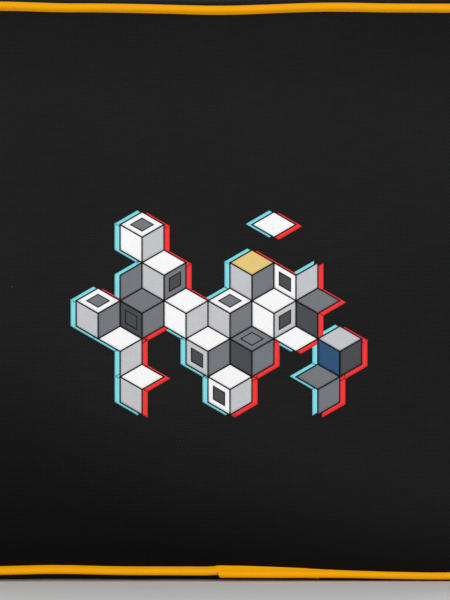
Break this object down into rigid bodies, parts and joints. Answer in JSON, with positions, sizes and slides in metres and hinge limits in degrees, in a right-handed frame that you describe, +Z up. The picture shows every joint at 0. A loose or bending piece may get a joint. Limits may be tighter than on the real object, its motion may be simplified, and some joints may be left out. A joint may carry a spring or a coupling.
{
  "type": "shoulder bag",
  "caption": "Boxy soft shoulder bag with rounded corners, contrast piping round both face seams, a zip along the top with slider and pull, and a webbing strap that swings on side rivets",
  "frame": {"origin": "on the floor, under the middle of the bag's base", "axes": "+X to the bag's right as seen from the front, +Y towards its back, +Z up"},
  "size_m": [0.4002, 0.2042, 0.2924],
  "materials": {
    "shell_cloth": "plain-woven polyester, matte",
    "piping": "yellow vinyl over a round cord, satin",
    "zip_tape": "woven tape, matte",
    "zip_teeth": "moulded, satin",
    "zip_metal": "plated, satin",
    "webbing": "ribbed webbing, matte",
    "strap_metal": "plated, satin"
  },
  "bodies": {
    "bag": {"front_panel": "shell_cloth", "back_panel": "shell_cloth", "side_and_base_gusset": "shell_cloth", "zip_band": "shell_cloth", "front_piping": "piping", "back_piping": "piping", "zip_tape_front": "zip_tape", "zip_tape_back": "zip_tape", "zip_teeth_front": "zip_teeth", "zip_teeth_back": "zip_teeth", "side_patch_right": "webbing", "side_patch_left": "webbing", "strap_rivet_right": "strap_metal", "strap_rivet_left": "strap_metal"},
    "slider": {"zip_slider": "zip_metal"},
    "pull": {"zip_pull": "zip_metal"},
    "strap": {"strap_webbing": "webbing", "strap_anchor_webbing": "webbing", "strap_ring": "strap_metal", "strap_slide": "strap_metal"}
  },
  "joints": [
    {"name": "zip_travel", "type": "slide", "parent": "bag", "child": "slider", "axis": [1, 0, 0], "range_m": [-0.2305, 0], "deforming": ["zip_teeth_front", "zip_teeth_back"]},
    {"name": "pull_hinge", "type": "hinge", "parent": "slider", "child": "pull", "pos_m": [0.1159, 0, 0.2893], "axis": [0, 1, 0], "range_deg": [0, 180]},
    {"name": "strap_swing", "type": "hinge", "parent": "bag", "child": "strap", "pos_m": [0, 0, 0.222], "axis": [1, 0, 0], "range_deg": [0, 297.9]}
  ]
}
